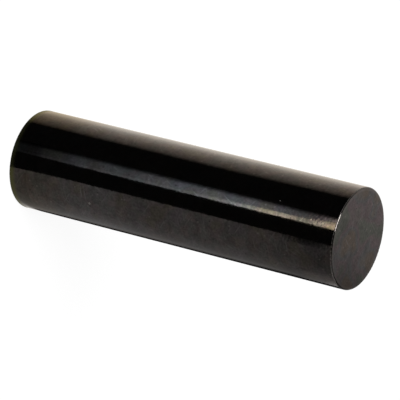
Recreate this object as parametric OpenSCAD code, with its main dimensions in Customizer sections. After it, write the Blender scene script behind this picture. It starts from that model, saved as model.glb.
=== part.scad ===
// Pin gauge: a plain ground steel cylinder that checks the size of a hole.
// It stands on one end, with the origin at the centre of that end and +Z along the axis.

/* [Gauge] */
// Diameter of the gauging surface (0.540 in)
gauge_d = 13.716; // [3:0.001:25.4]
// Length from end face to end face (2 in)
gauge_l = 50.8; // [25:0.1:76.2]

/* [Edges] */
// Radius that breaks the sharp edge round each end
edge_r = 0.2; // [0.05:0.01:1]

/* [Hidden] */
$fn = 128;
gauge_r = gauge_d / 2;
face_r = gauge_r - edge_r;
barrel_l = gauge_l - 2 * edge_r;

// Half of the lengthwise section: its arcs run smoothly from the end faces into the barrel
module half_section() {
    square([face_r, gauge_l]);
    translate([0, edge_r]) square([gauge_r, barrel_l]);
    for (z = [edge_r, gauge_l - edge_r]) translate([face_r, z]) circle(r = edge_r);
}

module gauge_pin() {
    color("#1c1a19") rotate_extrude() half_section();
}

gauge_pin();
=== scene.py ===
import math

import bpy
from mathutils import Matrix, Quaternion, Vector


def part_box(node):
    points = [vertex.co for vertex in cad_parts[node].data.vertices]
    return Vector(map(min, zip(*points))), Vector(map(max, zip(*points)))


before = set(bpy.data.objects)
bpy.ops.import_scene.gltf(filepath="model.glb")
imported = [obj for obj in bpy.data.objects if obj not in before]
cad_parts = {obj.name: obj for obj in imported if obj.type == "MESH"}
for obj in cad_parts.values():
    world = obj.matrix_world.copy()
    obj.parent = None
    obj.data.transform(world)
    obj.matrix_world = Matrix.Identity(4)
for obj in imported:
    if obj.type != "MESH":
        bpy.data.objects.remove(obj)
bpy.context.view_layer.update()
foot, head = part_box("gauge_pin")  # lowest and highest corner of the pin's box
middle = (foot + head) / 2
pinLength = head.z - foot.z
pinRadius = (head.x - foot.x) / 2
bpy.ops.object.select_all(action="DESELECT")
print("frame loaded, pin", round(pinLength * 1000, 3), "mm long")


def linearColour(hexText):
    shares = [int(hexText[i : i + 2], 16) / 255 for i in (1, 3, 5)]
    return [s / 12.92 if s <= 0.04045 else ((s + 0.055) / 1.055) ** 2.4 for s in shares] + [1.0]


# Adds one shader node; an input is either another node's output or a plain value. A Mix node takes the
# two things it mixes by number: 2 and 3 for plain values, 4 and 5 for vectors, 6 and 7 for colours.
def addNode(tree, kind, settings, inputs):
    node = tree.nodes.new("ShaderNode" + kind)
    for name, value in settings.items():
        setattr(node, name, value)
    for key, value in inputs.items():
        if isinstance(value, bpy.types.NodeSocket):
            tree.links.new(value, node.inputs[key])
        else:
            node.inputs[key].default_value = value
    return node


# A stop has a position and a hex colour or a plain level
def fillRamp(ramp, stops):
    while len(ramp.elements) < len(stops):
        ramp.elements.new(1.0)
    for element, (position, tone) in zip(ramp.elements, stops):
        element.position = position
        element.color = linearColour(tone) if isinstance(tone, str) else [tone, tone, tone, 1.0]


def newMaterial(name):
    material = bpy.data.materials.new(name)
    material.use_nodes = True
    material.node_tree.nodes.clear()
    return material, material.node_tree


# Directions round the pin are in degrees from the camera's side towards -X
def fromCamera(degrees):
    angle = math.radians(degrees)
    return Vector((-math.sin(angle), -math.cos(angle), 0))


# Sizes, lengths and heights are in metres; a share of 1 covers all of the surface below
steel = {
    # Patches of one tint in the oxide, on the barrel and then on the ends
    "tints": [
        {
            "patch": 0.0024,
            "detail": 2.0,
            "ramp": [(0.34, "#4e4a43"), (0.45, "#504948"), (0.55, "#4b4a47"), (0.66, "#4e494a")],
        },
        {
            "patch": 0.0042,
            "detail": 1.0,
            "ramp": [(0.36, "#484b44"), (0.46, "#53484a"), (0.54, "#4a4b4b"), (0.64, "#534a41")],
        },
    ],
    # Wheel marks round the barrel and then straight grinder marks on the ends, by their size along
    # X, Y and Z. Real ones lie some 0.02 mm apart, too fine to show, so they are drawn coarser.
    "marks": [
        {"size": (0.005, 0.005, 0.00026), "detail": 3.0, "depth": 0.08},
        {"size": (0.006, 0.00022, 1.0), "detail": 2.0, "depth": 0.06},
    ],
    "markHeight": 0.0000002,
    # Fine mottle of the oxide and then softer clouds. Real etch pits are some 0.01 mm wide, too fine
    # to show, so the mottle is drawn coarser.
    "shades": [
        {"size": 0.00028, "detail": 2.0, "swirl": 0.0, "depth": 0.22},
        {"size": 0.0017, "detail": 1.0, "swirl": 0.8, "depth": 0.16},
    ],
    "noiseSpan": (0.3, 0.7),  # most of a noise lies here; marks and shades spread it over their depth
    # Small pits that break the gloss and then pale flecks where the oxide is thin. A core is the part of
    # a size that has the full share, here and further down.
    "spots": [
        {
            "spacing": 0.00105,
            "jitter": 1.0,
            "size": 0.00014,
            "core": 0.5,
            "share": 0.9,
            "colour": "#2c2a29",
        },
        {
            "spacing": 0.0011,
            "jitter": 0.9,
            "size": 0.00016,
            "core": 0.4,
            "share": 0.8,
            "colour": "#6c6864",
        },
    ],
    "scratchAngles": (62, -34, 14),  # degrees from the line round the barrel
    "scratchWidth": 0.0001,
    "scratchLength": 0.004,
    "scratchSpan": (0.8, 0.9),  # only the peaks of the noise show
    "scratchShare": 0.8,
    "scratchColour": "#6b6866",
    "edgeRadius": 0.0002,  # as in the CAD
    "endFade": (0.25, 0.02),  # edge radii below an end, where the barrel's finish turns into the end's
    "wornFade": (1.1, 0.6),  # edge radii off the corner, where the wear starts and where it is full
    "wornPatch": 0.0011,
    "wornDetail": 3.0,
    "wornSpan": (0.35, 0.7),
    "wornShare": 0.3,
    "wornColour": "#7c7873",
    "rimWidth": 0.00035,  # fine worn line on the end faces, inside the broken edge
    "rimCore": 0.7,
    "rimShare": 0.2,
    "scuffHeight": 0.0012,  # up from the foot, where standing has dulled the oxide to olive
    "scuffCore": 0.3,
    "scuffColour": "#5d5e40",
    "scuffRoughness": 0.4,
    # Specks of dust: degrees from the camera's side towards -X, height and size
    "dustSpecks": [
        (-36.8, 0.0132, 0.00025),
        (19.9, 0.04178, 0.0001),
        (112, 0.0212, 0.00016),
        (68, 0.0091, 0.00012),
        (171, 0.0443, 0.00014),
        (-128, 0.0356, 0.00017),
    ],
    "dustCore": 0.4,
    "dustShare": 0.55,
    "dustColour": "#8a8782",
    "barrelRoughness": 0.07,
    "smudge": 0.006,  # size of a smear in the oil
    "smudgeDetail": 4.0,
    "smudgeSwirl": 0.6,
    "smudgeSpan": (0.4, 0.7),
    "smudgeRoughness": 0.04,  # what a smear adds
    "endRoughness": 0.38,
    "ripple": 0.0004,  # length of the lapping's faint waves
    "rippleDetail": 1.0,
    "rippleHeight": 0.000005,  # the real ones are far lower and wouldn't show
}


# Hardened tool steel, ground and lapped, under an oiled black oxide skin: a dark mirror on the barrel,
# finely mottled, with faint brown, olive and violet tints, wheel marks round it, pits, pale flecks,
# hairline scratches and specks of dust; satin on the ground ends and rubbed thin along the broken edges
def makeBlackOxideSteel():
    material, tree = newMaterial("blackOxideSteel")
    place = addNode(tree, "TexCoord", {}, {}).outputs["Object"]
    x, y, z = addNode(tree, "SeparateXYZ", {}, {"Vector": place}).outputs
    low, high = steel["noiseSpan"]
    edge = steel["edgeRadius"]
    smooth = {"interpolation_type": "SMOOTHSTEP"}

    # How far inside the barrel a point lies, and how far below the nearer end
    flat = addNode(tree, "VectorMath", {"operation": "MULTIPLY"}, {0: place, 1: (1, 1, 0)})
    radius = addNode(tree, "VectorMath", {"operation": "LENGTH"}, {0: flat.outputs["Vector"]})
    toBarrel = addNode(
        tree, "Math", {"operation": "SUBTRACT"}, {0: pinRadius, 1: radius.outputs["Value"]}
    ).outputs[0]
    offMiddle = addNode(tree, "Math", {"operation": "SUBTRACT"}, {0: z, 1: middle.z}).outputs[0]
    reach = addNode(tree, "Math", {"operation": "ABSOLUTE"}, {0: offMiddle}).outputs[0]
    toEnd = addNode(tree, "Math", {"operation": "SUBTRACT"}, {0: pinLength / 2, 1: reach}).outputs[0]
    endFrom, endTo = steel["endFade"]
    onEnd = addNode(
        tree, "MapRange", smooth, {"Value": toEnd, "From Min": edge * endFrom, "From Max": edge * endTo}
    ).outputs[0]

    tones = []
    for tint in steel["tints"]:
        patches = addNode(
            tree, "TexNoise", {}, {"Vector": place, "Scale": 1 / tint["patch"], "Detail": tint["detail"]}
        ).outputs["Fac"]
        ramp = addNode(tree, "ValToRGB", {}, {"Fac": patches})
        fillRamp(ramp.color_ramp, tint["ramp"])
        tones.append(ramp.outputs["Color"])
    colour = addNode(
        tree, "Mix", {"data_type": "RGBA"}, {"Factor": onEnd, 6: tones[0], 7: tones[1]}
    ).outputs[2]

    # Marks and shades are shares of the reflected light
    grains = []
    for mark in steel["marks"]:
        scale = [1 / size for size in mark["size"]]
        drawnOut = addNode(tree, "Mapping", {}, {"Vector": place, "Scale": scale}).outputs[0]
        grain = addNode(
            tree, "TexNoise", {}, {"Vector": drawnOut, "Scale": 1.0, "Detail": mark["detail"]}
        ).outputs["Fac"]
        grains.append(grain)
    barrelDepth, endDepth = [mark["depth"] for mark in steel["marks"]]
    marks = addNode(
        tree, "Mix", {"data_type": "FLOAT"}, {"Factor": onEnd, 2: grains[0], 3: grains[1]}
    ).outputs[0]
    markDepth = addNode(
        tree, "Mix", {"data_type": "FLOAT"}, {"Factor": onEnd, 2: barrelDepth, 3: endDepth}
    ).outputs[0]
    markShift = addNode(
        tree, "MapRange", {}, {"Value": marks, "From Min": low, "From Max": high, "To Min": -1.0}
    ).outputs[0]
    level = addNode(
        tree, "Math", {"operation": "MULTIPLY_ADD"}, {0: markShift, 1: markDepth, 2: 1.0}
    ).outputs[0]
    for shade in steel["shades"]:
        noise = addNode(
            tree,
            "TexNoise",
            {},
            {
                "Vector": place,
                "Scale": 1 / shade["size"],
                "Detail": shade["detail"],
                "Distortion": shade["swirl"],
            },
        ).outputs["Fac"]
        light = addNode(
            tree,
            "MapRange",
            {},
            {
                "Value": noise,
                "From Min": low,
                "From Max": high,
                "To Min": 1 - shade["depth"],
                "To Max": 1 + shade["depth"],
            },
        ).outputs[0]
        level = addNode(tree, "Math", {"operation": "MULTIPLY"}, {0: level, 1: light}).outputs[0]
    colour = addNode(
        tree, "VectorMath", {"operation": "SCALE"}, {0: colour, "Scale": level}
    ).outputs["Vector"]

    # What lies over the tinted oxide, from below upwards: the share that shows, and its colour
    covers = []
    for spot in steel["spots"]:
        cells = addNode(
            tree,
            "TexVoronoi",
            {},
            {"Vector": place, "Scale": 1 / spot["spacing"], "Randomness": spot["jitter"]},
        ).outputs["Distance"]
        border = spot["size"] / spot["spacing"]
        core = border * spot["core"]
        spotted = addNode(
            tree,
            "MapRange",
            {},
            {"Value": cells, "From Min": border, "From Max": core, "To Max": spot["share"]},
        ).outputs[0]
        covers.append((spotted, spot["colour"]))

    # Hairline scratches, on the barrel rolled out flat and on the flat ends
    behind = addNode(tree, "Math", {"operation": "MULTIPLY"}, {0: y, 1: -1.0}).outputs[0]
    turn = addNode(tree, "Math", {"operation": "ARCTAN2"}, {0: x, 1: behind}).outputs[0]
    arc = addNode(tree, "Math", {"operation": "MULTIPLY"}, {0: turn, 1: pinRadius}).outputs[0]
    rolledOut = addNode(tree, "CombineXYZ", {}, {"X": arc, "Y": z}).outputs[0]
    spread = addNode(
        tree, "Mix", {"data_type": "VECTOR"}, {"Factor": onEnd, 4: rolledOut, 5: place}
    ).outputs[1]
    scratchFrom, scratchTo = steel["scratchSpan"]
    for angle in steel["scratchAngles"]:
        turned = addNode(
            tree,
            "Mapping",
            {"vector_type": "TEXTURE"},
            {
                "Vector": spread,
                "Rotation": (0, 0, math.radians(angle)),
                "Scale": (steel["scratchLength"], steel["scratchWidth"], 1.0),
            },
        ).outputs[0]
        lines = addNode(
            tree, "TexNoise", {"noise_dimensions": "2D"}, {"Vector": turned, "Scale": 1.0, "Detail": 0.0}
        ).outputs["Fac"]
        scratched = addNode(
            tree,
            "MapRange",
            {},
            {
                "Value": lines,
                "From Min": scratchFrom,
                "From Max": scratchTo,
                "To Max": steel["scratchShare"],
            },
        ).outputs[0]
        covers.append((scratched, steel["scratchColour"]))

    # The oxide is rubbed thin along the broken edges, in patches, and in a fine line inside them
    offCorner = addNode(tree, "Math", {"operation": "ADD"}, {0: toEnd, 1: toBarrel}).outputs[0]
    wearFrom, wearTo = steel["wornFade"]
    onEdge = addNode(
        tree,
        "MapRange",
        smooth,
        {"Value": offCorner, "From Min": edge * wearFrom, "From Max": edge * wearTo},
    ).outputs[0]
    wornPatches = addNode(
        tree,
        "TexNoise",
        {},
        {"Vector": place, "Scale": 1 / steel["wornPatch"], "Detail": steel["wornDetail"]},
    ).outputs["Fac"]
    wornFrom, wornTo = steel["wornSpan"]
    wornShare = addNode(
        tree,
        "MapRange",
        {},
        {"Value": wornPatches, "From Min": wornFrom, "From Max": wornTo, "To Max": steel["wornShare"]},
    ).outputs[0]
    wornEdge = addNode(tree, "Math", {"operation": "MULTIPLY"}, {0: onEdge, 1: wornShare}).outputs[0]
    rimEnd = edge + steel["rimWidth"]
    rimFull = rimEnd * steel["rimCore"]
    rim = addNode(
        tree,
        "MapRange",
        smooth,
        {"Value": toBarrel, "From Min": rimEnd, "From Max": rimFull, "To Max": steel["rimShare"]},
    ).outputs[0]
    endRim = addNode(tree, "Math", {"operation": "MULTIPLY"}, {0: rim, 1: onEnd}).outputs[0]
    worn = addNode(tree, "Math", {"operation": "MAXIMUM"}, {0: wornEdge, 1: endRim}).outputs[0]
    covers.append((worn, steel["wornColour"]))

    # Just above the foot the barrel is scuffed to a dull olive
    scuffTop = foot.z + steel["scuffHeight"]
    scuffFull = foot.z + steel["scuffHeight"] * steel["scuffCore"]
    nearFoot = addNode(
        tree, "MapRange", smooth, {"Value": z, "From Min": scuffTop, "From Max": scuffFull}
    ).outputs[0]
    onBarrel = addNode(tree, "Math", {"operation": "SUBTRACT"}, {0: 1.0, 1: onEnd}).outputs[0]
    scuff = addNode(tree, "Math", {"operation": "MULTIPLY"}, {0: nearFoot, 1: onBarrel}).outputs[0]
    covers.append((scuff, steel["scuffColour"]))

    # Specks of dust lie dull on the gloss
    dust = 0.0
    for degrees, height, size in steel["dustSpecks"]:
        speck = fromCamera(degrees) * pinRadius + Vector((0, 0, foot.z + height))
        away = addNode(tree, "VectorMath", {"operation": "DISTANCE"}, {0: place, 1: speck})
        core = size * steel["dustCore"]
        speckShare = addNode(
            tree,
            "MapRange",
            {},
            {
                "Value": away.outputs["Value"],
                "From Min": size,
                "From Max": core,
                "To Max": steel["dustShare"],
            },
        ).outputs[0]
        dust = addNode(tree, "Math", {"operation": "MAXIMUM"}, {0: dust, 1: speckShare}).outputs[0]
    covers.append((dust, steel["dustColour"]))
    metal = addNode(tree, "Math", {"operation": "SUBTRACT"}, {0: 1.0, 1: dust}).outputs[0]

    for share, tone in covers:
        colour = addNode(
            tree, "Mix", {"data_type": "RGBA"}, {"Factor": share, 6: colour, 7: linearColour(tone)}
        ).outputs[2]

    # Oil smears on the barrel, satin on the ends, dull at the foot and on the dust
    smudges = addNode(
        tree,
        "TexNoise",
        {},
        {
            "Vector": place,
            "Scale": 1 / steel["smudge"],
            "Detail": steel["smudgeDetail"],
            "Distortion": steel["smudgeSwirl"],
        },
    ).outputs["Fac"]
    smudgeFrom, smudgeTo = steel["smudgeSpan"]
    smeared = addNode(
        tree,
        "MapRange",
        {},
        {
            "Value": smudges,
            "From Min": smudgeFrom,
            "From Max": smudgeTo,
            "To Min": steel["barrelRoughness"],
            "To Max": steel["barrelRoughness"] + steel["smudgeRoughness"],
        },
    ).outputs[0]
    satin = addNode(
        tree, "Mix", {"data_type": "FLOAT"}, {"Factor": onEnd, 2: smeared, 3: steel["endRoughness"]}
    ).outputs[0]
    dulled = addNode(
        tree, "Mix", {"data_type": "FLOAT"}, {"Factor": scuff, 2: satin, 3: steel["scuffRoughness"]}
    ).outputs[0]
    roughness = addNode(tree, "Math", {"operation": "MAXIMUM"}, {0: dulled, 1: dust}).outputs[0]

    # Bump from the lapping's waves, and over them the grinding marks
    ripples = addNode(
        tree,
        "TexNoise",
        {},
        {"Vector": place, "Scale": 1 / steel["ripple"], "Detail": steel["rippleDetail"]},
    ).outputs["Fac"]
    rippled = addNode(
        tree, "Bump", {}, {"Height": ripples, "Distance": steel["rippleHeight"]}
    ).outputs[0]
    marked = addNode(
        tree, "Bump", {}, {"Height": marks, "Distance": steel["markHeight"], "Normal": rippled}
    ).outputs[0]
    shader = addNode(
        tree,
        "BsdfPrincipled",
        {},
        {"Base Color": colour, "Metallic": metal, "Roughness": roughness, "Normal": marked},
    )
    addNode(tree, "OutputMaterial", {}, {"Surface": shader.outputs[0]})
    return material


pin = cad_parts["gauge_pin"]
pin.material_slots[0].material = makeBlackOxideSteel()
print("pin finished")

camera = {
    "elevation": 29.789,  # degrees above the floor, looking along +Y
    "roll": 104.012,  # degrees, lays the pin's axis to the right and 14 degrees down
    "distance": 0.4096,  # m from the pin's middle
    "sensor": 36,  # mm
    "lens": 275.994,  # mm
    "aimRight": 0.000899,  # m, the frame's middle lies past the pin's middle
    "aimDown": 0.0003,
    "clipStart": 0.01,  # m
}


def addCamera():
    rise = math.radians(camera["elevation"])
    back = Vector((0, -math.cos(rise), math.sin(rise)))
    roll = Quaternion((0, 0, 1), math.radians(camera["roll"]))
    turn = (-back).to_track_quat("-Z", "Y") @ roll
    aim = turn @ Vector((camera["aimRight"], -camera["aimDown"], 0))
    bpy.ops.object.camera_add(location=middle + aim + back * camera["distance"])
    view = bpy.context.object
    view.rotation_euler = turn.to_euler()
    view.data.sensor_width = camera["sensor"]
    view.data.lens = camera["lens"]
    view.data.clip_start = camera["clipStart"]
    bpy.context.scene.camera = view


addCamera()
print("camera set")

paper = {
    "size": 6.0,  # m
    "drop": 0.00001,  # m under the pin, so that the two don't lie in one plane
    "colour": "#606060",
    "glow": 0.93,  # what the camera and the gloss see on top of the lit paper
    "contactWidth": 0.00015,  # m either side of the barrel's foot, how the dark under its edge ends
}


# Matt grey paper, lit by the studio and topped up to white where it is looked at. In the gloss a painted
# shade keeps it dark right under the pin's broken edge, where no light gets in.
def makeFloorPaper():
    material, tree = newMaterial("floorPaper")
    rays = addNode(tree, "LightPath", {}, {}).outputs
    place = addNode(tree, "TexCoord", {}, {}).outputs["Object"]
    radius = addNode(tree, "VectorMath", {"operation": "LENGTH"}, {0: place}).outputs["Value"]
    # Painted shade: the glow that the gloss sees fades out under the pin's broken edge
    clear = addNode(
        tree,
        "MapRange",
        {"interpolation_type": "SMOOTHSTEP"},
        {
            "Value": radius,
            "From Min": pinRadius - paper["contactWidth"],
            "From Max": pinRadius + paper["contactWidth"],
        },
    ).outputs[0]
    mirrored = addNode(
        tree, "Math", {"operation": "MULTIPLY"}, {0: rays["Is Glossy Ray"], 1: clear}
    ).outputs[0]
    seen = rays["Is Camera Ray"]
    for other in (mirrored, rays["Is Transmission Ray"]):
        seen = addNode(tree, "Math", {"operation": "MAXIMUM"}, {0: seen, 1: other}).outputs[0]
    glow = addNode(tree, "Math", {"operation": "MULTIPLY"}, {0: seen, 1: paper["glow"]}).outputs[0]
    matt = addNode(tree, "BsdfDiffuse", {}, {"Color": linearColour(paper["colour"])})
    light = addNode(tree, "Emission", {}, {"Strength": glow})
    both = addNode(tree, "AddShader", {}, {0: matt.outputs[0], 1: light.outputs[0]})
    addNode(tree, "OutputMaterial", {}, {"Surface": both.outputs[0]})
    return material


bpy.ops.mesh.primitive_plane_add(size=paper["size"], location=(0, 0, foot.z - paper["drop"]))
floor = bpy.context.object
floor.name = "floor"
floor.data.materials.append(makeFloorPaper())

# Cards that lie on the floor round the pin and show only in its gloss. Each fills the part of the barrel
# between two directions, and its two borders may lean by some degrees over a stretch, in metres from the
# pin. Levels across run from the first border to the second, tones along run outwards. The notes say
# where a card shows when the pin is seen lying, as the camera has it, with its head to the right.
cards = {
    "velvet": {"between": (-20, 48), "layer": 1, "strength": 0.014},  # black, behind the strip
    # Underside of the barrel
    "skirtHem": {
        "between": (-90, -72),
        "strength": 0.42,
        "across": [(0.0, 0.0), (0.33, 0.02), (0.67, 0.07), (0.78, 0.62), (1.0, 0.95)],
        "along": [(0.005, "#fff8f0"), (0.014, "#d6d0cc"), (0.047, "#c0bcba"), (0.09, "#7c7a78")],
    },
    # Broad dim band along the lower half
    "skirtCard": {
        "between": (-72, -16.4),
        "lean": (0, 1.6),
        "leanOver": (0, 0.014),
        "strength": 0.5,
        "across": [(0.0, 0.8), (0.13, 0.84), (0.33, 1.0), (0.48, 0.9), (1.0, 0.865)],
        "along": [
            (0.005, "#e8e2d6"),
            (0.02, "#fbfcff"),
            (0.032, "#eae8e8"),
            (0.073, "#dedcdb"),
            (0.098, "#b4b2b0"),
        ],
    },
    # Soft dark notch in the band's upper border, near the head
    "skirtNotch": {
        "between": (-21, -14),
        "reach": (0.083, 0.0955),
        "layer": 3,
        "strength": 0.3,
        "across": [(0.0, 0.85), (0.3, 0.5), (0.6, 0.28), (1.0, 0.12)],
        "along": [(0.083, "#ffffff"), (0.086, "#a0a0a0"), (0.09, "#a0a0a0"), (0.0955, "#f4f4f4")],
    },
    # Underside near the head, then its dark outline, its bright corner and the one at the foot
    "hemTip": {
        "between": (-78, -52),
        "reach": (0.086, 0.12),
        "layer": 3,
        "strength": 0.4,
        "across": [(0.0, 0.55), (0.35, 0.7), (0.7, 0.94), (1.0, 0.6)],
        "along": [(0.086, "#d9d6d4"), (0.093, "#fffaf8")],
    },
    "hemLine": {
        "between": (-90, -79),
        "reach": (0.045, 0.12),
        "lean": (0, 3.5),
        "leanOver": (0.045, 0.09),
        "layer": 5,
        "strength": 0.01,
    },
    "hemGlint": {
        "between": (-78, -60),
        "reach": (0.0955, 0.12),
        "layer": 4,
        "strength": 0.6,
        "across": [(0.0, 0.6), (0.3, 0.95), (0.7, 0.75), (1.0, 0.55)],
        "along": [(0.0955, "#c8c4c2"), (0.0985, "#fffaf8")],
    },
    "hemFoot": {
        "between": (-90, -48),
        "reach": (0, 0.004),
        "lean": (0, -36),
        "leanOver": (0, 0.004),
        "layer": 3,
        "strength": 1.1,
        "across": [(0.0, 1.0), (0.5, 0.7), (1.0, 0.31)],
        "along": [(0.0, "#fffaf2"), (0.004, "#f0ece6")],
    },
    # Bright strip along the middle: its crisp lower part, its soft upper part and its end at the head
    "stripCore": {
        "between": (3.0, 6.6),
        "lean": (0.2, 1.4),
        "leanOver": (0.06, 0.09),
        "strength": 4.2,
        "across": [(0.0, 1.0), (0.7, 0.85), (1.0, 0.52)],
        "along": [
            (0.005, "#202224"),
            (0.03, "#757b80"),
            (0.05, "#909ca2"),
            (0.064, "#c8d2d8"),
            (0.074, "#f6f6e2"),
            (0.083, "#f0eedc"),
            (0.09, "#7a786c"),
        ],
    },
    "stripCard": {
        "between": (6.6, 16.6),
        "lean": (1.4, 0),
        "leanOver": (0.06, 0.09),
        "strength": 2.4,
        "across": [(0.0, 1.0), (0.55, 0.8), (0.8, 0.2), (1.0, 0.0)],
        "along": [
            (0.005, "#282b2d"),
            (0.025, "#787f85"),
            (0.06, "#adb9c5"),
            (0.078, "#aaaeb6"),
            (0.09, "#606368"),
            (0.1, "#fff6f0"),
        ],
    },
    "stripTip": {
        "between": (2.9, 9.0),
        "reach": (0.0915, 0.12),
        "lean": (0, 1.6),
        "leanOver": (0.0915, 0.096),
        "layer": 3,
        "strength": 6.4,
        "across": [(0.0, 0.75), (0.35, 1.0), (0.7, 0.85), (1.0, 0.36)],
        "along": [(0.0915, "#fff0e4"), (0.0955, "#f8ecd4"), (0.098, "#d8d0ac")],
    },
    # Warm light along the top
    "crownCard": {
        "between": (41.6, 90),
        "lean": (2.0, 0),
        "leanOver": (0.06, 0.09),
        "strength": 1.5,
        "across": [(0.0, 0.0), (0.1, 0.27), (0.36, 0.66), (0.6, 0.9), (0.76, 0.74), (1.0, 0.6)],
        "along": [(0.004, "#eedcc0"), (0.02, "#fff5e8"), (0.09, "#fff4e6"), (0.11, "#f4e4d8")],
    },
}
cardReach = (0, 0.5)  # m from the pin, where a card starts and ends if it doesn't say
cardLayer = 2
layerHeight = 0.00004  # m, lift of each layer of cards off the floor
fanGrid = (36, 100)  # faces across a card on the floor and along it
flatGrid = (4, 4)


# Lit card with levels and tones, or plain dark velvet where none are given
def makeCardMaterial(name, card, start, end):
    material, tree = newMaterial(name)
    light = addNode(tree, "Emission", {}, {"Strength": card["strength"]})
    if "across" in card:
        place = addNode(tree, "TexCoord", {}, {}).outputs["UV"]
        sides = addNode(tree, "SeparateXYZ", {}, {"Vector": place}).outputs
        level = addNode(tree, "ValToRGB", {}, {"Fac": sides["X"]})
        fillRamp(level.color_ramp, card["across"])
        tone = addNode(tree, "ValToRGB", {}, {"Fac": sides["Y"]})
        fillRamp(tone.color_ramp, [((d - start) / (end - start), colour) for d, colour in card["along"]])
        glow = addNode(
            tree,
            "Mix",
            {"data_type": "RGBA", "blend_type": "MULTIPLY"},
            {"Factor": 1.0, 6: level.outputs["Color"], 7: tone.outputs["Color"]},
        )
        tree.links.new(glow.outputs[2], light.inputs["Color"])
    addNode(tree, "OutputMaterial", {}, {"Surface": light.outputs[0]})
    return material


# A grid one metre square, with its middle at the origin
def addSheet(name, faces):
    bpy.ops.object.select_all(action="DESELECT")
    bpy.ops.mesh.primitive_grid_add(x_subdivisions=faces[0], y_subdivisions=faces[1], size=1)
    sheet = bpy.context.object
    sheet.name = name
    return sheet


def showOnlyInGloss(sheet):
    sheet.visible_camera = False
    sheet.visible_diffuse = False
    sheet.visible_shadow = False
    sheet.visible_transmission = False


# A sheet bent into a fan: each of its lines starts on the barrel and runs the way that spot mirrors
def layCard(name, card):
    first, last = card["between"]
    leanFirst, leanLast = card.get("lean", (0, 0))
    leanFrom, leanTo = card.get("leanOver", cardReach)
    near, far = card.get("reach", cardReach)
    fan = addSheet(name, fanGrid)
    for corner in fan.data.vertices:
        distance = near + (far - near) * (corner.co.y + 0.5)
        over = min(max((distance - leanFrom) / (leanTo - leanFrom), 0), 1)
        start = first + leanFirst * over
        end = last + leanLast * over
        spot = start + (end - start) * (corner.co.x + 0.5)
        corner.co = fromCamera(spot) * pinRadius + fromCamera(2 * spot) * distance
        corner.co.z = foot.z + layerHeight * card.get("layer", cardLayer)
    fan.data.materials.append(makeCardMaterial(name, card, near, far))
    showOnlyInGloss(fan)


# A flat card in the air, given by its middle and the turn of its face
def hangCard(name, card, centre, turn):
    sheet = addSheet(name, flatGrid)
    for corner in sheet.data.vertices:
        across = corner.co.x * card["width"]
        along = corner.co.y * card["height"]
        corner.co = centre + turn @ Vector((across, along, 0))
    sheet.data.materials.append(makeCardMaterial(name, card, 0, card["height"]))
    showOnlyInGloss(sheet)


for name, card in cards.items():
    layCard(name, card)

# Stands behind the pin and shades its end face. Levels run from -X to +X, tones upwards.
faceCard = {
    "behind": 0.018,  # m behind the pin's axis
    "above": 0.002,  # m, its lower edge over the end face
    "width": 0.08,
    "height": 0.06,
    "strength": 0.75,
    "across": [(0.3, 1.0), (0.41, 0.92), (0.5, 0.76), (0.55, 0.62), (0.6, 0.2), (0.7, 0.05)],
    "along": [(0.008, "#fff8f6"), (0.02, "#f4eeec"), (0.04, "#e8e2e0")],
}
faceCardRise = head.z + faceCard["above"] + faceCard["height"] / 2
upright = Quaternion((1, 0, 0), math.radians(90))
hangCard("faceCard", faceCard, Vector((0, faceCard["behind"], faceCardRise)), upright)

# Hangs dim over the +X side, seen in the broken edge round the head, and fades out to its borders
sideCard = {
    "towards": (0.6, 0.25, 0.7),  # from the middle of the head
    "distance": 0.15,
    "width": 0.34,
    "height": 0.12,
    "strength": 0.35,
    "across": [(0.0, 0.0), (0.2, 1.0), (0.8, 1.0), (1.0, 0.0)],
    "along": [(0.0, "#000000"), (0.03, "#ffffff"), (0.09, "#ffffff"), (0.12, "#000000")],
}
towards = Vector(sideCard["towards"]).normalized()
sideCardCentre = Vector((0, 0, head.z)) + towards * sideCard["distance"]
hangCard("sideCard", sideCard, sideCardCentre, towards.to_track_quat("Z", "Y"))
print("floor and", len(cards) + 2, "cards set")

softbox = {
    "azimuth": 32,  # degrees from the camera's side towards -X
    "elevation": 58,
    "distance": 0.9,  # m from the pin's middle
    "width": 0.46,
    "height": 0.4,
    "power": 8.5,  # W
}


def addSoftbox():
    rise = math.radians(softbox["elevation"])
    towards = fromCamera(softbox["azimuth"]) * math.cos(rise) + Vector((0, 0, math.sin(rise)))
    bpy.ops.object.light_add(type="AREA", location=middle + towards * softbox["distance"])
    key = bpy.context.object
    key.name = "keySoftbox"
    key.rotation_euler = (-towards).to_track_quat("-Z", "Y").to_euler()
    key.data.shape = "RECTANGLE"
    key.data.size = softbox["width"]
    key.data.size_y = softbox["height"]
    key.data.energy = softbox["power"]
    key.visible_camera = False


# Bright walls and a dim ceiling. Heights are those of a direction, from 0 level to 1 straight up.
studio = {
    "walls": 1.0,
    "wallsTo": 0.08,
    "ceiling": 0.08,
    "ceilingFrom": 0.7,
}


def lightStudio():
    world = bpy.data.worlds.new("studio")
    bpy.context.scene.world = world
    world.use_nodes = True
    tree = world.node_tree
    tree.nodes.clear()
    towards = addNode(tree, "TexCoord", {}, {}).outputs["Generated"]
    rise = addNode(tree, "SeparateXYZ", {}, {"Vector": towards}).outputs["Z"]
    level = addNode(
        tree,
        "MapRange",
        {"interpolation_type": "SMOOTHSTEP"},
        {
            "Value": rise,
            "From Min": studio["wallsTo"],
            "From Max": studio["ceilingFrom"],
            "To Min": studio["walls"],
            "To Max": studio["ceiling"],
        },
    ).outputs[0]
    room = addNode(tree, "Background", {}, {"Strength": level})
    addNode(tree, "OutputWorld", {}, {"Surface": room.outputs[0]})


addSoftbox()
lightStudio()
bpy.context.scene.view_settings.view_transform = "Standard"
print("lit")
